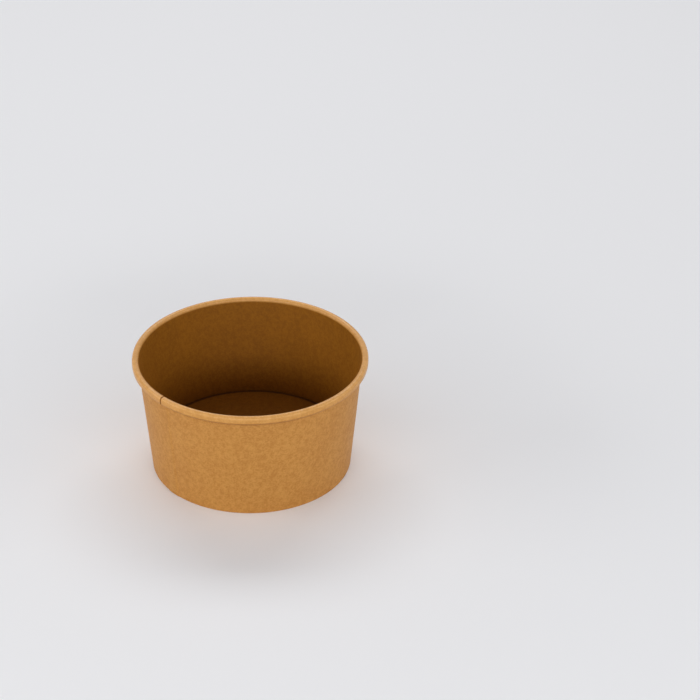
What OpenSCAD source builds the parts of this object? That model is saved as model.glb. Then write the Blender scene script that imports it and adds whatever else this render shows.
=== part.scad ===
// Kraft paper salad bowl, made the way such bowls are: one fan-shaped sheet is wrapped into a
// cone and lapped along a glued side seam, its top edge is rolled outward into a hollow rim,
// and its bottom edge is folded inward round the downturned skirt of a flat paper floor.
// Millimetres, +Z up, origin on the table at the middle of the base.

/* [Bowl] */
// Diameter over the rolled rim
rim_d = 150; // [140:1:185]
// Height from the table to the top of the rim
bowl_h = 78; // [45:1:110]
// Diameter over the folded base
base_d = 128; // [100:1:134]

/* [Paperboard] */
// Thickness of the side wall's sheet
wall_t = 0.45; // [0.35:0.05:0.6]
// Thickness of the floor's sheet
floor_t = 0.4; // [0.3:0.05:0.6]
// Glue line between the floor's skirt and the sheet on each side of it
glue_t = 0.03; // [0.02:0.01:0.1]

/* [Rolled rim] */
// Width of the rolled rim, from the bowl's inside to its outermost edge
roll_w = 4.1; // [3.6:0.1:5]
// Height of the rolled rim, from its underside to its top
roll_h = 5.4; // [4.6:0.1:7]
// Length of the sheet's edge that is tucked up inside the roll
tuck_l = 1.2; // [0.4:0.1:1.6]
// Room between the tucked edge and the lapped wall beside it
tuck_gap = 0.1; // [0.05:0.05:0.3]

/* [Side seam] */
// Width of the lap, where the sheet's two ends are glued over each other
lap_w = 8; // [5:0.5:12]
// Direction of the inner end's cut edge, seen from above
seam_angle = 224; // [0:0.5:360]
// Width of the slit beside the inner end's cut edge
slit_w = 0.6; // [0.2:0.05:0.8]
// Width of the shoulder past the slit, on which the outer end slopes down to the wall
shoulder_w = 2.4; // [1.5:0.1:4]

/* [Floor and base fold] */
// Height of the floor's upper face above the table
floor_z = 11.5; // [8:0.5:14]
// Outer radius of the floor's bend down into its skirt
floor_bend = 1; // [0.7:0.1:1.6]
// Distance from the floor's bend down to the top edge of the folded hem
hem_drop = 2; // [0.5:0.5:4]
// Room between the skirt's lower edge and the bottom of the fold
skirt_gap = 0.3; // [0.1:0.1:1]

/* [Hidden] */
$fn = 128;

kraft = [0.78, 0.60, 0.40];
kraft_floor = [0.74, 0.56, 0.37];

// How far glued plies of the one sheet sink into each other, so that they are one solid
weld = 0.02;

// A derived size to the nearest micrometre, so that the bends and the straights meet exactly
function um(x) = round(x * 1000) / 1000;

rim_r = rim_d / 2;
base_r = base_d / 2;

// Two bends of the base fold, which wraps the skirt and leaves a narrow flat to stand on
skirt_room = floor_t + 2 * glue_t;
fold_r = um(wall_t + skirt_room / 4);
fold_x = base_r - fold_r;
hem_x = fold_x + 2 * fold_r - 2 * wall_t - skirt_room;

// Top bend of the roll, which the wall leans out to reach
top_r = roll_w / 2;
top_z = bowl_h - top_r;
lean = (rim_r - roll_w + wall_t - base_r) / (top_z - fold_r);

// Radius of the wall's outer face at height z
function wall_x(z) = base_r + lean * (z - fold_r);

// Lower bend of the roll, which stays clear of a lapped wall
low_r = um((rim_r - wall_x(bowl_h - roll_h) - wall_t - tuck_gap) / (2 + lean));
low_x = rim_r - low_r;
low_z = bowl_h - roll_h + low_r;

// Bend between the floor and its skirt
bend_z = floor_z - floor_bend;
bend_x = um(wall_x(bend_z) - wall_t - glue_t - floor_bend);

// Angle that a width takes round the bowl, at the inside of the rim
function turn(w) = w / (rim_r - roll_w) * 180 / PI;

// Bent sheet in the section, clockwise from one direction to another, r its outer radius
module bend(x, z, r, t, from, to) {
    steps = (from - to) / 45;
    translate([x, z]) intersection() {
        difference() {
            circle(r);
            circle(r - t);
        }
        polygon(concat([[0, 0]], [for (k = [0:steps])
            2 * r * [cos(from - 45 * k), sin(from - 45 * k)]]));
    }
}

// Straight sheet in the section, which leans like the wall from (x, low) up to high
module slant(x, low, high, t) {
    over = lean * (high - low);
    polygon([[x, low], [x + t, low], [x + t + over, high], [x + over, high]]);
}

// Section of the wall and the roll. The outer ply lies a distance lap outside the inner ply
// on the wall, and so the same distance inside it in the roll.
module wall_and_roll(lap) {
    slant(base_r - wall_t + lap, fold_r, top_z, wall_t);
    bend(rim_r - top_r, top_z, top_r - lap, wall_t, 180, 0);
    translate([rim_r - lap - wall_t, low_z]) square([wall_t, top_z - low_z]);
    bend(low_x, low_z, low_r - lap, wall_t, 0, -180);
    slant(low_x - low_r + lap, low_z, low_z + tuck_l, wall_t);
}

// Section of the base fold and of the hem that stands up inside the skirt
module fold_and_hem() {
    bend(fold_x, fold_r, fold_r, wall_t, 0, -90);
    translate([hem_x, 0]) square([fold_x - hem_x, wall_t]);
    bend(hem_x, fold_r, fold_r, wall_t, -90, -180);
    slant(hem_x - fold_r, fold_r, bend_z - hem_drop, wall_t);
}

// Wedge beside the slit, by which the outer ply slopes down to the wall
module shoulder() {
    head = bowl_h - roll_h - low_r;
    rise = wall_t - weld;
    translate([base_r, 0, fold_r]) rotate([0, atan(lean), 0])
        linear_extrude((head - fold_r) * sqrt(1 + lean * lean))
            polygon([[-wall_t / 2, 0], [rise, 0], [0, shoulder_w], [-wall_t / 2, shoulder_w]]);
}

// Side wall: the sheet goes once round the bowl to its inner end, and its outer end covers the
// slit there and laps back over the inner one
module side_wall() {
    heel = turn(slit_w + weld);
    color(kraft) {
        rotate_extrude(angle = 360 - turn(slit_w), start = seam_angle + turn(slit_w)) {
            wall_and_roll(0);
            fold_and_hem();
        }
        rotate_extrude(angle = turn(lap_w) + 2 * heel, start = seam_angle - turn(lap_w))
            wall_and_roll(wall_t - weld);
        rotate([0, 0, seam_angle + heel]) shoulder();
    }
}

// Floor: a flat disc whose edge is bent down into a skirt that lies against the wall
module base_disc() {
    skirt_z = wall_t + skirt_gap;
    color(kraft_floor) rotate_extrude() {
        translate([0, floor_z - floor_t]) square([bend_x, floor_t]);
        bend(bend_x, bend_z, floor_bend, floor_t, 90, 0);
        slant(bend_x + floor_bend - floor_t - lean * (bend_z - skirt_z), skirt_z, bend_z, floor_t);
    }
}

side_wall();
base_disc();
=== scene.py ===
"""Kraft paper salad bowl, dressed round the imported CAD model.

The bowl is two pieces of kraft paperboard. A fan-shaped blank is wrapped into a cone, lapped
along a glued seam, rolled outward along its top edge and folded inward along its foot round
the downturned skirt of a flat floor. Both are built here as bent sheets, in metres and in the
frame's own axes: +Z up, the photograph looking along +Y, the origin on the table.
"""

import logging
import math
from collections.abc import Iterable
from dataclasses import dataclass, field
from enum import Enum, IntEnum

import bmesh
import bpy
from mathutils import Euler, Matrix, Vector, noise

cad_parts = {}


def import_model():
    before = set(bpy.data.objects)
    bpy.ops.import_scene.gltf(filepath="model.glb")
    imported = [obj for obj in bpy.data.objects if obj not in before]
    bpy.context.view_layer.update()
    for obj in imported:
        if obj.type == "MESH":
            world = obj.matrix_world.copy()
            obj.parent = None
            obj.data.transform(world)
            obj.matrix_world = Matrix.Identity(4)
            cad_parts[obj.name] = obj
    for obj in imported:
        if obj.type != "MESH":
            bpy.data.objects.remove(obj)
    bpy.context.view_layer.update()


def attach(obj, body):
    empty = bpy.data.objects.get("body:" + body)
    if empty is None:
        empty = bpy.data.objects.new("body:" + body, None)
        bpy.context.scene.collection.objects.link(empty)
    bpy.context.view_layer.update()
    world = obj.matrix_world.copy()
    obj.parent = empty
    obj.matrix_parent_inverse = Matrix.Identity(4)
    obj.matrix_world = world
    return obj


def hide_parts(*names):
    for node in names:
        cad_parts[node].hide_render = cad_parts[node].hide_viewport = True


MM = 0.001
"""One millimetre in metres."""

BLANK_MAP = "blank"
"""Name of the UV map that holds each point's place on the flat blank, in metres."""
MERGE_DISTANCE = 0.002 * MM
"""Points of a sheet that lie closer than this become one."""
SHARP_DEGREES = 40
"""Edges that turn more than this stay sharp, such as a sheet's cut edges."""

log = logging.getLogger("kraft_salad_bowl")


class Side(IntEnum):
    """Material slots of a sheet: its sides to the right and to the left of its section, as the
    section is drawn, and the edges that the die cut."""

    RIGHT = 0
    LEFT = 1
    CUT_EDGE = 2


class Bend(Enum):
    """Which way a sheet turns in the section, seen with +X to the right and +Z up."""

    CLOCKWISE = 1
    COUNTERCLOCKWISE = -1


# Materials


def srgb(code: str) -> tuple[float, float, float, float]:
    """Turns an sRGB hex colour into linear RGBA.

    Args:
        code: Six hex digits, with or without a leading #.

    Returns:
        The linear red, green and blue, and an alpha of 1.
    """
    digits = code.lstrip("#")
    parts = [int(digits[k : k + 2], 16) / 255 for k in (0, 2, 4)]
    red, green, blue = (
        part / 12.92 if part <= 0.04045 else ((part + 0.055) / 1.055) ** 2.4 for part in parts
    )
    return (red, green, blue, 1.0)


def smooth(value: float) -> float:
    """Eases a share from 0 to 1 with level ends, and holds it there outside."""
    share = min(max(value, 0.0), 1.0)
    return share * share * (3 - 2 * share)


def add_node(
    tree: bpy.types.NodeTree,
    kind: str,
    settings: dict[str, object] | None = None,
    inputs: dict[str | int, object] | None = None,
) -> bpy.types.Node:
    """Adds a node with its settings, and its inputs as values or links.

    Args:
        tree: Node tree that gets the node.
        kind: The node's type name.
        settings: Values of the node's own attributes.
        inputs: By input name or number, a value, or the output socket to link from.

    Returns:
        The new node.
    """
    node = tree.nodes.new(kind)
    for name, value in (settings or {}).items():
        setattr(node, name, value)
    for key, value in (inputs or {}).items():
        if isinstance(value, bpy.types.NodeSocket):
            tree.links.new(value, node.inputs[key])
        else:
            node.inputs[key].default_value = value
    return node


def new_material(name: str) -> tuple[bpy.types.Material, bpy.types.NodeTree]:
    """Makes an empty node material.

    Args:
        name: The material's name.

    Returns:
        The material and its emptied node tree.
    """
    material = bpy.data.materials.new(name)
    material.use_nodes = True
    material.node_tree.nodes.clear()
    return material, material.node_tree


@dataclass(frozen=True)
class Tones:
    """The browns of one board: its pale and dark flocks, and its darkest fibres."""

    pale: str
    dark: str
    fibre: str


@dataclass(frozen=True)
class FormingAndPaintedLight:
    """A band of other browns and roughness along a side's section. It is partly what forming did to
    the board, and partly a painted highlight on the rolled rim's crest and painted shade down and
    under the roll and at the floor's edge. The change sets in from start to end, as distances along
    the section from the sheet's own datum, in metres."""

    start: float
    end: float
    tones: Tones
    roughness: float


@dataclass(frozen=True)
class KraftPaper:
    """Unbleached kraft board, pressed from long pine fibres on a wire.

    The eye gets a warm brown that is never even: pale and dark flocks a few millimetres across
    where the fibres bunched, a few single fibres, and a soft tooth in the light.
    """

    name: str
    tones: Tones
    roughness: float
    tooth: float
    gloss: float = 0.5
    cloud_mm: float = 15.0
    cloud_share: float = 0.16
    flock_mm: float = 3.2
    fleck_mm: float = 1.2
    fleck_share: float = 0.55
    # Real fibres are 0.03 mm wide and 3 mm long. Drawn 0.35 mm wide, so that a render shows them.
    fibre_width_mm: float = 0.35
    fibre_length_mm: float = 2.6
    fibre_curl: float = 0.9
    fibre_cover: float = 0.4
    tooth_mm: float = 0.6
    # How much rougher or smoother than its mean the paper gets from flock to flock.
    uneven: float = 0.05
    # Bands of forming, and of painted highlight and painted shade, along the section.
    forming_and_painted_light: tuple[FormingAndPaintedLight, ...] = ()

    # Spans of noise, about its middle of 0.5, over which the flocks, the single fibres and the
    # roughness change.
    FLOCK_SPAN = (0.39, 0.61)
    FIBRE_SPAN = (0.60, 0.80)
    UNEVEN_SPAN = (0.25, 0.75)

    def frequency(self, size_mm: float) -> float:
        """Gives a texture's scale, in repeats a metre, from its real size."""
        return 1 / (size_mm * MM)

    def material(self, datum: float) -> bpy.types.Material:
        """Builds the board's material on the flat blank's own coordinates.

        Args:
            datum: Distance along the section from which the bands of forming and painted light are
                measured.

        Returns:
            The finished material.
        """
        material, tree = new_material(self.name)
        blank = add_node(tree, "ShaderNodeUVMap", {"uv_map": BLANK_MAP}).outputs["UV"]
        cloud = self._noise(tree, blank, self.cloud_mm, detail=2.0, roughness=0.5)
        flock = self._noise(tree, blank, self.flock_mm, detail=2.0, roughness=0.5)
        fleck = self._noise(tree, blank, self.fleck_mm, detail=3.0, roughness=0.6)
        flock = self._blend(tree, flock, fleck, self.fleck_share)
        flock = self._blend(tree, flock, cloud, self.cloud_share)
        fibres = self._fibres(tree, blank)
        paper = self._paper(tree, self.tones, flock, fibres)
        rough = self._uneven(tree, flock, self.roughness)
        run = add_node(tree, "ShaderNodeAttribute", {"attribute_name": BentSheet.RUN})
        # Lays the bands along the section: forming's change to the board, and a painted highlight and
        # painted shade on the rim, under it and at the floor's edge.
        for change in self.forming_and_painted_light:
            start, end = datum + change.start, datum + change.end
            share = self._spread(tree, run.outputs["Fac"], start, end)
            paper = self._mix(tree, paper, self._paper(tree, change.tones, flock, fibres), share)
            rough = self._blend(tree, rough, self._uneven(tree, flock, change.roughness), share)
        tooth = self._noise(tree, blank, self.tooth_mm, detail=3.0, roughness=0.65)
        bump = add_node(
            tree,
            "ShaderNodeBump",
            inputs={"Strength": 1.0, "Distance": self.tooth * MM, "Height": tooth},
        )
        shader = add_node(
            tree,
            "ShaderNodeBsdfPrincipled",
            inputs={
                "Base Color": paper,
                "Roughness": rough,
                "Specular IOR Level": self.gloss,
                "Normal": bump.outputs["Normal"],
            },
        )
        add_node(tree, "ShaderNodeOutputMaterial", inputs={"Surface": shader.outputs["BSDF"]})
        return material

    def _paper(
        self,
        tree: bpy.types.NodeTree,
        tones: Tones,
        flock: bpy.types.NodeSocket,
        fibres: bpy.types.NodeSocket,
    ) -> bpy.types.NodeSocket:
        """Mixes the board's browns.

        Args:
            tree: Node tree.
            tones: The browns.
            flock: Noise of the flocks.
            fibres: Cover of the single fibres.

        Returns:
            The board's colour.
        """
        shade = self._spread(tree, flock, *self.FLOCK_SPAN)
        flocks = self._mix(tree, srgb(tones.dark), srgb(tones.pale), shade)
        return self._mix(tree, flocks, srgb(tones.fibre), fibres)

    def _noise(
        self,
        tree: bpy.types.NodeTree,
        place: bpy.types.NodeSocket,
        size_mm: float,
        detail: float,
        roughness: float,
    ) -> bpy.types.NodeSocket:
        """Adds cloudy noise of a real size.

        Args:
            tree: Node tree.
            place: Coordinates in metres.
            size_mm: Distance from blotch to blotch.
            detail: Octaves of finer noise.
            roughness: Weight of the finer noise.

        Returns:
            The noise, about 0.5.
        """
        return add_node(
            tree,
            "ShaderNodeTexNoise",
            inputs={
                "Vector": place,
                "Scale": self.frequency(size_mm),
                "Detail": detail,
                "Roughness": roughness,
            },
        ).outputs["Fac"]

    def _fibres(
        self, tree: bpy.types.NodeTree, place: bpy.types.NodeSocket
    ) -> bpy.types.NodeSocket:
        """Adds single curled fibres, mostly along the web of the paper machine.

        Args:
            tree: Node tree.
            place: Coordinates in metres.

        Returns:
            The fibres' cover, from 0 up to its most.
        """
        stretched = add_node(
            tree,
            "ShaderNodeMapping",
            inputs={
                "Vector": place,
                "Scale": (
                    self.frequency(self.fibre_length_mm),
                    self.frequency(self.fibre_width_mm),
                    1.0,
                ),
            },
        )
        streaks = add_node(
            tree,
            "ShaderNodeTexNoise",
            inputs={
                "Vector": stretched.outputs["Vector"],
                "Scale": 1.0,
                "Detail": 2.0,
                "Roughness": 0.5,
                "Distortion": self.fibre_curl,
            },
        )
        return self._spread(
            tree, streaks.outputs["Fac"], *self.FIBRE_SPAN, high=self.fibre_cover
        )

    def _spread(
        self,
        tree: bpy.types.NodeTree,
        value: bpy.types.NodeSocket,
        start: float,
        end: float,
        low: float = 0.0,
        high: float = 1.0,
    ) -> bpy.types.NodeSocket:
        """Stretches a span of values smoothly to another span.

        Args:
            tree: Node tree.
            value: Values to stretch.
            start: Value that becomes low.
            end: Value that becomes high.
            low: Lowest result.
            high: Highest result.

        Returns:
            The stretched values.
        """
        return add_node(
            tree,
            "ShaderNodeMapRange",
            {"interpolation_type": "SMOOTHSTEP"},
            {"Value": value, "From Min": start, "From Max": end, "To Min": low, "To Max": high},
        ).outputs["Result"]

    def _uneven(
        self, tree: bpy.types.NodeTree, flock: bpy.types.NodeSocket, roughness: float
    ) -> bpy.types.NodeSocket:
        """Makes the flocks a little smoother than the paper between them.

        Args:
            tree: Node tree.
            flock: Noise of the flocks.
            roughness: Mean roughness.

        Returns:
            The roughness.
        """
        return self._spread(
            tree,
            flock,
            *self.UNEVEN_SPAN,
            low=roughness + self.uneven,
            high=roughness - self.uneven,
        )

    def _blend(
        self,
        tree: bpy.types.NodeTree,
        first: bpy.types.NodeSocket,
        second: bpy.types.NodeSocket,
        share: float | bpy.types.NodeSocket,
    ) -> bpy.types.NodeSocket:
        """Blends two values.

        Args:
            tree: Node tree.
            first: Value at a share of 0.
            second: Value at a share of 1.
            share: Share of the second value.

        Returns:
            The blend.
        """
        # A Mix node's sockets for numbers are its inputs 0, 2 and 3 and its output 0.
        return add_node(
            tree, "ShaderNodeMix", {"data_type": "FLOAT"}, {0: share, 2: first, 3: second}
        ).outputs[0]

    def _mix(
        self,
        tree: bpy.types.NodeTree,
        under: bpy.types.NodeSocket | tuple[float, float, float, float],
        over: bpy.types.NodeSocket | tuple[float, float, float, float],
        cover: bpy.types.NodeSocket,
    ) -> bpy.types.NodeSocket:
        """Lays one colour over another.

        Args:
            tree: Node tree.
            under: Colour below, as a value or a socket.
            over: Colour above, as a value or a socket.
            cover: Share of the colour above.

        Returns:
            The mixed colour.
        """
        # A Mix node's sockets for colours are its inputs 0, 6 and 7 and its output 2.
        return add_node(
            tree, "ShaderNodeMix", {"data_type": "RGBA"}, {0: cover, 6: under, 7: over}
        ).outputs[2]


BARE_BOARD = KraftPaper(
    name="bare_kraft_board",
    tones=Tones(pale="#C58B3D", dark="#B3772C", fibre="#9B651F"),
    roughness=0.62,
    tooth=0.05,
    forming_and_painted_light=(
        # Painted shadow of the rolled rim: a thin darker line on the wall just under the roll.
        FormingAndPaintedLight(
            start=-6.7 * MM,
            end=-5.3 * MM,
            tones=Tones(pale="#B2792F", dark="#9C621C", fibre="#875313"),
            roughness=0.5,
        ),
    ),
)
# The side wall's outer side: uncoated, so dull, with the fibres' tooth. Just under the rolled rim, a
# thin darker line a little smoother than the board round it is painted as the roll's shadow on the
# wall.
"""The side wall's outer side: uncoated, so dull, with the fibres' tooth. Under the rolled rim
the curling tool pressed it, which shows as a thin burnished line."""

COATED_BOARD = KraftPaper(
    name="coated_kraft_board",
    # Darker than the film alone makes the board: partly the film, partly painted shade of the bowl's
    # inside.
    tones=Tones(pale="#986015", dark="#87530E", fibre="#754507"),
    roughness=0.50,
    tooth=0.03,
    gloss=0.28,
    forming_and_painted_light=(
        # Paler over the roll's crest: the film drawn thin, and a painted highlight.
        FormingAndPaintedLight(
            start=-0.8 * MM,
            end=0.6 * MM,
            tones=Tones(pale="#E1A75F", dark="#D39850", fibre="#C08742"),
            roughness=0.22,
        ),
        # Painted shade: a step darker down the roll's outer side.
        FormingAndPaintedLight(
            start=4.4 * MM,
            end=6.0 * MM,
            tones=Tones(pale="#D39A52", dark="#C58B43", fibre="#B27A36"),
            roughness=0.3,
        ),
        # Painted shade on the roll's underside.
        FormingAndPaintedLight(
            start=7.1 * MM,
            end=8.4 * MM,
            tones=Tones(pale="#B67E3A", dark="#A8702D", fibre="#966223"),
            roughness=0.45,
        ),
    ),
)
# The side wall's inner side: a film of polyethylene, which deepens the brown and gives it a soft
# gloss. Its browns are set darker still, as painted shade of the bowl's inside. Over the rolled rim's
# crest the film is drawn thin, and the board's own paler brown shows, made paler again as a painted
# highlight. Down the roll's outside the browns step darker, and darker again on its underside, as
# painted shade.
"""The side wall's inner side: a film of polyethylene, which deepens the brown and gives it a
soft gloss. Over the rolled rim's crest the film is drawn thin, and the board's own paler brown
shows. Down the roll's outside it is thinned less, and the curling tool burnished its underside."""

CUT_BOARD = KraftPaper(
    name="cut_kraft_edge",
    tones=Tones(pale="#B17936", dark="#9B6526", fibre="#88551C"),
    roughness=0.80,
    tooth=0.06,
    flock_mm=0.8,
)
"""The die-cut edge: open fibre ends, rougher and a little darker than the faces."""

BARE_FLOOR = KraftPaper(
    name="bare_kraft_floor",
    tones=Tones(pale="#BF8539", dark="#AA7027", fibre="#945E1C"),
    roughness=0.64,
    tooth=0.05,
)
"""The floor's underside, from another roll of board, a shade duller."""

COATED_FLOOR = KraftPaper(
    name="coated_kraft_floor",
    # The wall's inner browns: partly the film, partly painted shade of the bowl's inside.
    tones=Tones(pale="#986015", dark="#87530E", fibre="#754507"),
    roughness=0.50,
    tooth=0.03,
    gloss=0.28,
    forming_and_painted_light=(
        # Painted shade of the crease: a dark ring along the floor's edge, where it meets the wall.
        FormingAndPaintedLight(
            start=2.55 * MM,
            end=1.05 * MM,
            tones=Tones(pale="#582F05", dark="#4A2602", fibre="#3F1F02"),
            roughness=0.55,
        ),
    ),
)
# The floor's upper side, filmed like the wall's inner side, with the same browns set darker as
# painted shade of the bowl's inside. At its edge, along the crease against the wall, a dark ring is
# painted as the crease's shade.
"""The floor's upper side, filmed like the wall's inner side. At its edge, where the film was
pressed and sealed to the wall, it shows as a dark line."""


# Bent sheets


class SectionPath:
    """A sheet's mid-line in the section, drawn point by point in the plane y = 0."""

    def __init__(self, bm: bmesh.types.BMesh, x: float, z: float) -> None:
        """Starts the line.

        Args:
            bm: Mesh that gets the line.
            x: Distance of the first point from the axis.
            z: Its height.
        """
        self.bm = bm
        self.points: list[bmesh.types.BMVert] = bmesh.ops.create_vert(bm, co=(x, 0, z))["vert"]

    @property
    def tip(self) -> bmesh.types.BMVert:
        """The line's last point."""
        return self.points[-1]

    def straight(self, x: float, z: float, steps: int = 1) -> None:
        """Draws a straight in equal steps.

        Args:
            x: Distance of its end from the axis.
            z: Height of its end.
            steps: Number of edges.
        """
        stride = (Vector((x, 0, z)) - self.tip.co) / steps
        for _ in range(steps):
            point = bmesh.ops.extrude_vert_indiv(self.bm, verts=[self.tip])["verts"][0]
            bmesh.ops.translate(self.bm, verts=[point], vec=stride)
            self.points.append(point)

    def bend(self, x: float, z: float, degrees: float, way: Bend, steps: int) -> None:
        """Draws a round bend about a centre.

        Args:
            x: Distance of the centre from the axis.
            z: Height of the centre.
            degrees: Angle of the bend.
            way: Which way it turns.
            steps: Number of edges.
        """
        for _ in range(steps):
            swept = bmesh.ops.spin(
                self.bm,
                geom=[self.tip],
                cent=(x, 0, z),
                axis=(0, 1, 0),
                angle=way.value * math.radians(degrees) / steps,
                steps=1,
            )["geom_last"]
            self.points += [v for v in swept if isinstance(v, bmesh.types.BMVert)]


@dataclass
class BentSheet:
    """A thin board bent to a section and turned about the bowl's axis."""

    name: str
    node: str
    slot: str
    board: float

    RUN = "run"
    TURN = "turn"
    OUT_X = "out_x"
    OUT_Z = "out_z"

    @property
    def datum(self) -> float:
        """Distance along the section from which the finishes' bands of forming and painted light are
        measured.
        """
        raise NotImplementedError

    def draw(self, bm: bmesh.types.BMesh) -> SectionPath:
        """Draws the section. Each sheet has its own."""
        raise NotImplementedError

    def turns(self) -> list[float]:
        """Gives the angles of the sheet's stations, from 0 up, in radians."""
        raise NotImplementedError

    def direction(self, turn: float) -> float:
        """Gives a station's direction from the axis, in radians."""
        return turn

    def place(self, turn: float, run: float, out: Vector, point: Vector) -> Vector:
        """Gives a point's final place in the section of its own station.

        Args:
            turn: Angle from the first station.
            run: Distance along the section.
            out: The section's right-hand normal.
            point: Nominal place in the section.

        Returns:
            The final place in the section.
        """
        return point

    def on_blank(self, turn: float, run: float) -> tuple[float, float]:
        """Gives a point's place on the flat blank, in metres."""
        raise NotImplementedError

    def trim(self, bm: bmesh.types.BMesh) -> None:
        """Cuts away what the blank doesn't have. Most sheets need none."""

    def mesh(self) -> bmesh.types.BMesh:
        """Turns the section about the axis and sets every point in place.

        Returns:
            The sheet's mid-surface.
        """
        bm = bmesh.new()
        layers = bm.verts.layers.float
        for name in (self.RUN, self.TURN, self.OUT_X, self.OUT_Z):
            layers.new(name)
        path = self.draw(bm)
        self._measure(bm, path.points)
        stations = self.turns()
        ring: list[bmesh.types.BMVert | bmesh.types.BMEdge] = [*bm.verts, *bm.edges]
        for before, after in zip(stations, stations[1:]):
            ring = bmesh.ops.spin(
                bm, geom=ring, cent=(0, 0, 0), axis=(0, 0, 1), angle=after - before, steps=1
            )["geom_last"]
            for vert in (v for v in ring if isinstance(v, bmesh.types.BMVert)):
                vert[layers[self.TURN]] = after
        self.trim(bm)
        self._set_in_place(bm)
        bmesh.ops.remove_doubles(bm, verts=bm.verts, dist=MERGE_DISTANCE)
        self._face_out(bm)
        self._map_blank(bm)
        return bm

    def _measure(self, bm: bmesh.types.BMesh, points: list[bmesh.types.BMVert]) -> None:
        """Writes each section point's distance along the sheet and its right-hand normal.

        Args:
            bm: Mesh that holds the section.
            points: The section's points in order.
        """
        layers = bm.verts.layers.float
        run = 0.0
        for k, point in enumerate(points):
            before = points[max(k - 1, 0)].co
            after = points[min(k + 1, len(points) - 1)].co
            run += (point.co - before).length
            along = (after - before).normalized()
            point[layers[self.RUN]] = run
            point[layers[self.OUT_X]] = along.z
            point[layers[self.OUT_Z]] = -along.x

    def _set_in_place(self, bm: bmesh.types.BMesh) -> None:
        """Moves every point from its nominal place to its final one.

        Args:
            bm: Mesh that holds the sheet.
        """
        layers = bm.verts.layers.float
        for vert in bm.verts:
            turn = vert[layers[self.TURN]]
            out = Vector((vert[layers[self.OUT_X]], 0, vert[layers[self.OUT_Z]]))
            radius = math.hypot(vert.co.x, vert.co.y)
            spot = self.place(turn, vert[layers[self.RUN]], out, Vector((radius, 0, vert.co.z)))
            vert.co = Matrix.Rotation(self.direction(turn), 3, "Z") @ spot

    def _face_out(self, bm: bmesh.types.BMesh) -> None:
        """Makes all faces look to the section's right-hand side.

        Args:
            bm: Mesh that holds the sheet.
        """
        bmesh.ops.recalc_face_normals(bm, faces=bm.faces)
        layers = bm.verts.layers.float
        bm.faces.ensure_lookup_table()
        face = bm.faces[len(bm.faces) // 2]
        face.normal_update()
        vert = face.verts[0]
        out = Vector((vert[layers[self.OUT_X]], 0, vert[layers[self.OUT_Z]]))
        out.rotate(Euler((0, 0, self.direction(vert[layers[self.TURN]]))))
        if face.normal.dot(out) < 0:
            bmesh.ops.reverse_faces(bm, faces=bm.faces)

    def _map_blank(self, bm: bmesh.types.BMesh) -> None:
        """Writes each corner's place on the flat blank into the UV map.

        Args:
            bm: Mesh that holds the sheet.
        """
        layers = bm.verts.layers.float
        blank = bm.loops.layers.uv.new(BLANK_MAP)
        for face in bm.faces:
            for loop in face.loops:
                loop[blank].uv = self.on_blank(
                    loop.vert[layers[self.TURN]], loop.vert[layers[self.RUN]]
                )

    def build(self, finishes: Iterable[KraftPaper]) -> bpy.types.Object:
        """Makes the solid sheet, gives it its finishes and sets it in the frame.

        Args:
            finishes: The finishes of its right-hand side, its left-hand side and its cut edges.

        Returns:
            The finished piece.
        """
        bm = self.mesh()
        data = bpy.data.meshes.new(self.name)
        bm.to_mesh(data)
        bm.free()
        piece = bpy.data.objects.new(self.name, data)
        bpy.context.scene.collection.objects.link(piece)
        for finish in finishes:
            data.materials.append(finish.material(self.datum))
        thick = piece.modifiers.new("board", "SOLIDIFY")
        thick.thickness = self.board
        thick.offset = 0
        thick.use_even_offset = True
        thick.material_offset = Side.LEFT - Side.RIGHT
        thick.material_offset_rim = Side.CUT_EDGE - Side.RIGHT
        bpy.context.view_layer.update()
        evaluated = piece.evaluated_get(bpy.context.evaluated_depsgraph_get())
        solid = bpy.data.meshes.new_from_object(evaluated)
        piece.modifiers.clear()
        piece.data = solid
        bpy.data.meshes.remove(data)
        solid.name = self.name
        solid.shade_smooth()
        solid.set_sharp_from_angle(angle=math.radians(SHARP_DEGREES))
        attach(piece, "root")
        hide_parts(self.node)
        log.info("%s: %d faces, stands for %s", self.name, len(solid.polygons), self.node)
        return piece


@dataclass(frozen=True)
class Unevenness:
    """How far a finished bowl strays from true: the rim is never quite round or level."""

    round_error: float = 0.22 * MM
    level_error: float = 0.12 * MM
    ripple: float = 0.05 * MM
    starts_at: float = 14 * MM
    full_at: float = 70 * MM
    # Waves of the noise round the bowl, as its reach for a radius of 1, and up the wall.
    broad_waves: float = 0.9
    level_waves: float = 1.1
    ripple_waves: float = 9.0
    broad_rise: float = 110 * MM
    ripple_rise: float = 20 * MM

    # Places in the noise from which the three are read, so that they differ.
    BROAD_PLACE = Vector((3.1, 7.4, 0))
    LEVEL_PLACE = Vector((8.3, 1.9, 0))
    RIPPLE_PLACE = Vector((5.5, 2.2, 0))

    def at(self, direction: float, height: float) -> Vector:
        """Gives the stray at a place on the wall or the rim.

        Args:
            direction: Direction from the axis, in radians.
            height: Height above the table.

        Returns:
            The stray in the section: outward as x, upward as z.
        """
        share = smooth((height - self.starts_at) / (self.full_at - self.starts_at))
        turn = Vector((math.cos(direction), math.sin(direction), 0))
        up = Vector((0, 0, height))
        broad = noise.noise(turn * self.broad_waves + self.BROAD_PLACE + up / self.broad_rise)
        level = noise.noise(turn * self.level_waves + self.LEVEL_PLACE)
        fine = noise.noise(turn * self.ripple_waves + self.RIPPLE_PLACE + up / self.ripple_rise)
        outward = self.round_error * broad + self.ripple * fine
        return share * Vector((outward, 0, self.level_error * level))


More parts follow.
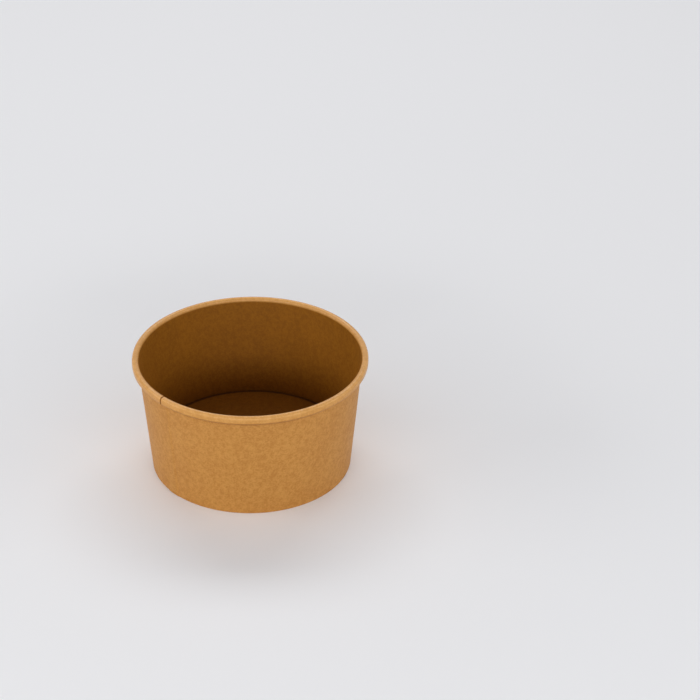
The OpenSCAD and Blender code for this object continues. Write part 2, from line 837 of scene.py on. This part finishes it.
@dataclass
class SideWall(BentSheet):
    """The fan-shaped blank: hem, base fold, wall, rolled rim and lapped seam.

    The base fold leaves skirt_room for the floor's skirt and its glue. The sheet's outer end
    climbs over shoulder, or in the roll over the shorter rim_shoulder, onto its inner end, with
    glue between them, and in the roll with roll_gap as well, which opens over roll_lead.
    """

    name: str = "side_wall_sheet"
    node: str = "side_wall"
    slot: str = "kraft_board"
    board: float = 0.45 * MM
    rim_radius: float = 75 * MM
    height: float = 78 * MM
    base_radius: float = 64 * MM
    skirt_room: float = 0.46 * MM
    hem_top: float = 8.5 * MM
    roll_width: float = 4.1 * MM
    roll_height: float = 5.4 * MM
    roll_lead: float = 3 * MM
    tuck: float = 1.2 * MM
    tuck_gap: float = 0.1 * MM
    lap: float = 8 * MM
    slit: float = 0.6 * MM
    shoulder: float = 2.4 * MM
    rim_shoulder: float = 0.5 * MM
    roll_gap: float = 0.25 * MM
    seam_degrees: float = 224.0
    glue: float = 0.012 * MM
    stray: Unevenness = Unevenness()
    stations: int = 240
    shoulder_stations: int = 24
    lap_stations: int = 12

    # Slack for comparing a point's stored place along or round the sheet with a computed one.
    RUN_SLACK = 0.05 * MM
    TURN_SLACK = 1e-5

    @property
    def fold_radius(self) -> float:
        """Outer radius of the base fold's two bends, which wrap the floor's skirt."""
        return self.board + self.skirt_room / 4

    @property
    def hem_inset(self) -> float:
        """Width of the narrow flat between those bends, on which the bowl stands."""
        return self.skirt_room / 2

    @property
    def top_bend_radius(self) -> float:
        """Outer radius of the roll's top bend."""
        return self.roll_width / 2

    @property
    def top_bend_height(self) -> float:
        """Height of the top bend's centre, where the wall ends."""
        return self.height - self.top_bend_radius

    @property
    def lean(self) -> float:
        """How far the wall leans out, per unit of height."""
        wall_top = self.rim_radius - self.roll_width + self.board
        return (wall_top - self.base_radius) / (self.top_bend_height - self.fold_radius)

    def face_radius(self, height: float) -> float:
        """Gives the radius of the wall's outer face at a height."""
        return self.base_radius + self.lean * (height - self.fold_radius)

    @property
    def low_bend_radius(self) -> float:
        """Outer radius of the roll's lower bend, whose tucked edge stays clear of the lap."""
        wall = self.face_radius(self.height - self.roll_height)
        return (self.rim_radius - wall - self.board - self.tuck_gap) / (2 + self.lean)

    def angle(self, width: float) -> float:
        """Gives the angle that a width takes round the inside of the rim, in radians."""
        return width / (self.rim_radius - self.roll_width)

    def direction(self, turn: float) -> float:
        """Gives a station's direction, clockwise from the inner end's cut edge, in radians."""
        return math.radians(self.seam_degrees) - turn

    def draw(self, bm: bmesh.types.BMesh) -> SectionPath:
        """Draws the section from the top of the hem to the tucked edge.

        Args:
            bm: Mesh that gets the line.

        Returns:
            The drawn line.
        """
        half = self.board / 2
        fold, fold_x = self.fold_radius, self.base_radius - self.fold_radius
        hem_x = fold_x - self.hem_inset
        path = SectionPath(bm, hem_x - fold + half + self.lean * (self.hem_top - fold), self.hem_top)
        path.straight(hem_x - fold + half, fold, steps=4)
        path.bend(hem_x, fold, 90, Bend.COUNTERCLOCKWISE, steps=6)
        path.straight(fold_x, half)
        path.bend(fold_x, fold, 90, Bend.COUNTERCLOCKWISE, steps=6)
        top_r, top_z = self.top_bend_radius, self.top_bend_height
        path.straight(self.rim_radius - self.roll_width + half, top_z, steps=20)
        path.bend(self.rim_radius - top_r, top_z, 180, Bend.CLOCKWISE, steps=20)
        low_r = self.low_bend_radius
        low_x, low_z = self.rim_radius - low_r, self.height - self.roll_height + low_r
        path.straight(self.rim_radius - half, low_z, steps=2)
        path.bend(low_x, low_z, 180, Bend.CLOCKWISE, steps=14)
        path.straight(low_x - low_r + half + self.lean * self.tuck, low_z + self.tuck, steps=2)
        return path

    @property
    def foot_run(self) -> float:
        """Distance along the sheet from the hem's edge to where the wall starts."""
        hem = (self.hem_top - self.fold_radius) * math.hypot(1, self.lean)
        return hem + math.pi * (self.fold_radius - self.board / 2) + self.hem_inset

    @property
    def roll_run(self) -> float:
        """Distance along the sheet from the hem's edge to where the roll starts."""
        wall = (self.top_bend_height - self.fold_radius) * math.hypot(1, self.lean)
        return self.foot_run + wall

    @property
    def datum(self) -> float:
        """Where the roll starts."""
        return self.roll_run

    def turns(self) -> list[float]:
        """Spaces the stations evenly round the bowl and closely at the seam.

        Returns:
            Angles from the inner end's cut edge to the outer end's, in radians.
        """
        slit = 2 * math.pi - self.angle(self.slit)
        spans = [
            (0.0, slit - self.angle(self.shoulder), self.stations),
            (slit - self.angle(self.shoulder), slit, self.shoulder_stations),
            (slit, 2 * math.pi + self.angle(self.lap), self.lap_stations),
        ]
        angles = [a + (b - a) * k / n for a, b, n in spans for k in range(n)]
        return [*angles, spans[-1][1]]

    def in_roll(self, run: float) -> float:
        """Gives 0 on the wall and 1 in the roll, at a distance along the section."""
        return smooth((run - self.roll_run) / self.roll_lead + 1)

    def climb(self, turn: float, run: float) -> float:
        """Gives how far the outer end has climbed onto the inner one.

        Args:
            turn: Angle from the inner end's cut edge.
            run: Distance along the section.

        Returns:
            A share from 0 on the plain wall to 1 on the lap.
        """
        slit = 2 * math.pi - self.angle(self.slit)
        width = self.shoulder + (self.rim_shoulder - self.shoulder) * self.in_roll(run)
        return smooth((turn - slit) / self.angle(width) + 1)

    def place(self, turn: float, run: float, out: Vector, point: Vector) -> Vector:
        """Lifts the outer end onto the lap, and adds the unevenness of a real bowl.

        Args:
            turn: Angle from the inner end's cut edge.
            run: Distance along the section.
            out: The section's right-hand normal.
            point: Nominal place in the section.

        Returns:
            The final place in the section.
        """
        loose = self.roll_gap * self.in_roll(run)
        lifted = out * (self.board + self.glue + loose) * self.climb(turn, run)
        if run < self.foot_run + self.RUN_SLACK:
            lifted = Vector((max(lifted.x, 0), 0, 0))
        return point + lifted + self.stray.at(self.direction(turn), point.z)

    def on_blank(self, turn: float, run: float) -> tuple[float, float]:
        """Develops the cone, so that the board's grain runs straight across the blank.

        Args:
            turn: Angle from the inner end's cut edge.
            run: Distance along the section.

        Returns:
            The point's place on the flat blank, in metres.
        """
        opening = math.sin(math.atan(self.lean))
        reach = (self.base_radius - self.board / 2) / opening + run - self.foot_run
        return (reach * math.cos(turn * opening), reach * math.sin(turn * opening))

    def trim(self, bm: bmesh.types.BMesh) -> None:
        """Cuts the hem and the fold out of the lapped end, so that the foot stays thin.

        Args:
            bm: Mesh that holds the sheet.
        """
        layers = bm.verts.layers.float
        slit = 2 * math.pi - self.angle(self.slit)
        lapped = [
            face
            for face in bm.faces
            if min(v[layers[self.TURN]] for v in face.verts) > slit - self.TURN_SLACK
            and min(v[layers[self.RUN]] for v in face.verts) < self.foot_run - self.RUN_SLACK
        ]
        bmesh.ops.delete(bm, geom=lapped, context="FACES")


@dataclass
class FloorDisc(BentSheet):
    """The floor: a disc whose edge is bent down into a skirt against the wall. It sags inside
    the flat_edge beside the bend."""

    name: str = "base_disc_sheet"
    node: str = "base_disc"
    slot: str = "kraft_floor"
    board: float = 0.4 * MM
    wall: SideWall = field(default_factory=SideWall)
    glue: float = 0.03 * MM
    floor_height: float = 11.5 * MM
    bend_radius: float = 1 * MM
    skirt_foot: float = 0.75 * MM
    sag: float = 0.35 * MM
    flat_edge: float = 2 * MM
    stations: int = 192

    @property
    def bend_z(self) -> float:
        """Height of the bend's centre, where the skirt starts."""
        return self.floor_height - self.bend_radius

    @property
    def bend_x(self) -> float:
        """Distance of the bend's centre from the axis: the skirt lies against the wall."""
        inner_face = self.wall.face_radius(self.bend_z) - self.wall.board
        return inner_face - self.glue - self.bend_radius

    @property
    def datum(self) -> float:
        """Where the bend ends and the flat disc starts."""
        skirt = (self.bend_z - self.skirt_foot) * math.hypot(1, self.wall.lean)
        return skirt + math.pi / 2 * (self.bend_radius - self.board / 2)

    def draw(self, bm: bmesh.types.BMesh) -> SectionPath:
        """Draws the section from the skirt's lower edge to the disc's middle.

        Args:
            bm: Mesh that gets the line.

        Returns:
            The drawn line.
        """
        half = self.board / 2
        skirt_x = self.bend_x + self.bend_radius - half
        foot_x = skirt_x - self.wall.lean * (self.bend_z - self.skirt_foot)
        path = SectionPath(bm, foot_x, self.skirt_foot)
        path.straight(skirt_x, self.bend_z, steps=5)
        path.bend(self.bend_x, self.bend_z, 90, Bend.COUNTERCLOCKWISE, steps=8)
        path.straight(0, self.floor_height - half, steps=24)
        return path

    def turns(self) -> list[float]:
        """Spaces the stations evenly over the full turn."""
        return [2 * math.pi * k / self.stations for k in range(self.stations + 1)]

    def place(self, turn: float, run: float, out: Vector, point: Vector) -> Vector:
        """Lets the disc sag a little towards its middle.

        Args:
            turn: Angle from the first station.
            run: Distance along the section.
            out: The section's right-hand normal.
            point: Nominal place in the section.

        Returns:
            The final place in the section.
        """
        inward = smooth(1 - point.x / (self.bend_x - self.flat_edge))
        return point - Vector((0, 0, self.sag * inward))

    def on_blank(self, turn: float, run: float) -> tuple[float, float]:
        """Lays the disc and its skirt flat.

        Args:
            turn: Angle from the first station.
            run: Distance along the section.

        Returns:
            The point's place on the flat blank, in metres.
        """
        skirt = self.bend_z - self.skirt_foot
        reach = skirt + math.pi / 2 * self.bend_radius + self.bend_x - run
        return (reach * math.cos(turn), reach * math.sin(turn))


# Studio


@dataclass(frozen=True)
class PhotoCamera:
    """The photograph's viewpoint, from a camera fitted to the rim, the wall, the base and the
    floor's edge. Distances are in metres and angles in radians, but the sensor's width is in
    millimetres, as Blender takes it."""

    image_width: int = 700
    focal_pixels: float = 2600.0
    sensor: float = 36.0
    pitch: float = 0.5426
    roll: float = 0.0076
    right: float = 63.074 * MM
    up: float = 70.130 * MM
    back: float = 1687.232 * MM
    near: float = 50 * MM
    far: float = 50.0

    def build(self) -> bpy.types.Object:
        """Sets the scene's camera.

        Returns:
            The camera.
        """
        data = bpy.data.cameras.new("photo_camera")
        data.sensor_width = self.sensor
        data.lens = self.focal_pixels * self.sensor / self.image_width
        data.clip_start, data.clip_end = self.near, self.far
        camera = bpy.data.objects.new("photo_camera", data)
        bpy.context.scene.collection.objects.link(camera)
        sine, cosine = math.sin(self.pitch), math.cos(self.pitch)
        ahead = Vector((0, cosine, -sine))
        above = Vector((0, sine, cosine))
        camera.location = Vector((self.right, 0, 0)) + above * self.up - ahead * self.back
        upright = Matrix((Vector((1, 0, 0)), above, -ahead)).transposed()
        camera.rotation_euler = (upright @ Matrix.Rotation(self.roll, 3, "Z")).to_euler()
        bpy.context.scene.camera = camera
        return camera


@dataclass(frozen=True)
class Softbox:
    """A rectangular area lamp that looks at the bowl. Its azimuth is 0 on the camera's side and
    grows to the right, and its elevation is its height above the table, both in degrees."""

    name: str
    azimuth: float
    elevation: float
    distance: float
    width: float
    height: float
    watts: float

    def build(self, target: Vector) -> bpy.types.Object:
        """Hangs the lamp.

        Args:
            target: Point that it looks at.

        Returns:
            The lamp.
        """
        data = bpy.data.lights.new(self.name, "AREA")
        data.shape = "RECTANGLE"
        data.size, data.size_y = self.width, self.height
        data.energy = self.watts
        lamp = bpy.data.objects.new(self.name, data)
        bpy.context.scene.collection.objects.link(lamp)
        azimuth, elevation = math.radians(self.azimuth), math.radians(self.elevation)
        away = Vector(
            (
                math.sin(azimuth) * math.cos(elevation),
                -math.cos(azimuth) * math.cos(elevation),
                math.sin(elevation),
            )
        )
        lamp.location = target + away * self.distance
        lamp.rotation_euler = (-away).to_track_quat("-Z", "Y").to_euler()
        return lamp


@dataclass(frozen=True)
class Studio:
    """A pale matt table under soft lamps, with a pale room all round."""

    table_colour: str = "#F5F5F7"
    room_colour: str = "#E1E2E5"
    room_light: float = 0.32
    table_size: float = 6.0
    table_roughness: float = 0.9
    aim_height: float = 40 * MM
    lamps: tuple[Softbox, ...] = (
        Softbox(
            "left_softbox", azimuth=-80, elevation=22, distance=1.6, width=1.3, height=0.45, watts=7
        ),
        Softbox(
            "right_softbox", azimuth=80, elevation=22, distance=1.6, width=1.3, height=0.45, watts=4.5
        ),
        Softbox(
            "front_left_softbox",
            azimuth=-24,
            elevation=22,
            distance=1.6,
            width=1.3,
            height=0.25,
            watts=6.2,
        ),
        Softbox(
            "front_right_softbox",
            azimuth=24,
            elevation=22,
            distance=1.6,
            width=1.3,
            height=0.25,
            watts=6.2,
        ),
        Softbox(
            "back_softbox", azimuth=180, elevation=50, distance=1.8, width=1.8, height=0.6, watts=12.5
        ),
    )

    def build(self) -> None:
        """Lays the table, hangs the lamps and lights the room."""
        bm = bmesh.new()
        bmesh.ops.create_grid(bm, x_segments=1, y_segments=1, size=self.table_size / 2)
        data = bpy.data.meshes.new("table")
        bm.to_mesh(data)
        bm.free()
        table = bpy.data.objects.new("table", data)
        bpy.context.scene.collection.objects.link(table)
        data.materials.append(self._table_material())
        for lamp in self.lamps:
            lamp.build(Vector((0, 0, self.aim_height)))
        self._room()

    def _table_material(self) -> bpy.types.Material:
        """Makes the table's matt laminate, a plain pale grey that keeps the bowl's shadow.

        Returns:
            The material.
        """
        material, tree = new_material("matt_pale_laminate")
        shader = add_node(
            tree,
            "ShaderNodeBsdfPrincipled",
            inputs={
                "Base Color": srgb(self.table_colour),
                "Roughness": self.table_roughness,
            },
        )
        add_node(tree, "ShaderNodeOutputMaterial", inputs={"Surface": shader.outputs["BSDF"]})
        return material

    def _room(self) -> None:
        """Makes the world: pale to the camera and to reflections, and a soft fill as light."""
        world = bpy.data.worlds.new("pale_room")
        world.use_nodes = True
        tree = world.node_tree
        tree.nodes.clear()
        rays = add_node(tree, "ShaderNodeLightPath").outputs
        seen = add_node(
            tree,
            "ShaderNodeMath",
            {"operation": "MAXIMUM"},
            {0: rays["Is Camera Ray"], 1: rays["Is Glossy Ray"]},
        )
        seen = add_node(
            tree,
            "ShaderNodeMath",
            {"operation": "MAXIMUM"},
            {0: seen.outputs[0], 1: rays["Is Transmission Ray"]},
        )
        light = add_node(
            tree,
            "ShaderNodeBackground",
            inputs={"Color": srgb(self.room_colour), "Strength": self.room_light},
        )
        shown = add_node(
            tree,
            "ShaderNodeBackground",
            inputs={"Color": srgb(self.room_colour), "Strength": 1.0},
        )
        either = add_node(
            tree,
            "ShaderNodeMixShader",
            inputs={0: seen.outputs[0], 1: light.outputs[0], 2: shown.outputs[0]},
        )
        add_node(tree, "ShaderNodeOutputWorld", inputs={"Surface": either.outputs[0]})
        bpy.context.scene.world = world


def main() -> None:
    """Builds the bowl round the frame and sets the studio."""
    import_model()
    bpy.context.scene.view_settings.view_transform = "Standard"
    PhotoCamera().build()
    wall = SideWall()
    wall.build((BARE_BOARD, COATED_BOARD, CUT_BOARD))
    FloorDisc(wall=wall).build((COATED_FLOOR, BARE_FLOOR, CUT_BOARD))
    Studio().build()


if __name__ == "__main__":
    logging.basicConfig(level=logging.INFO, format="%(message)s")
    main()
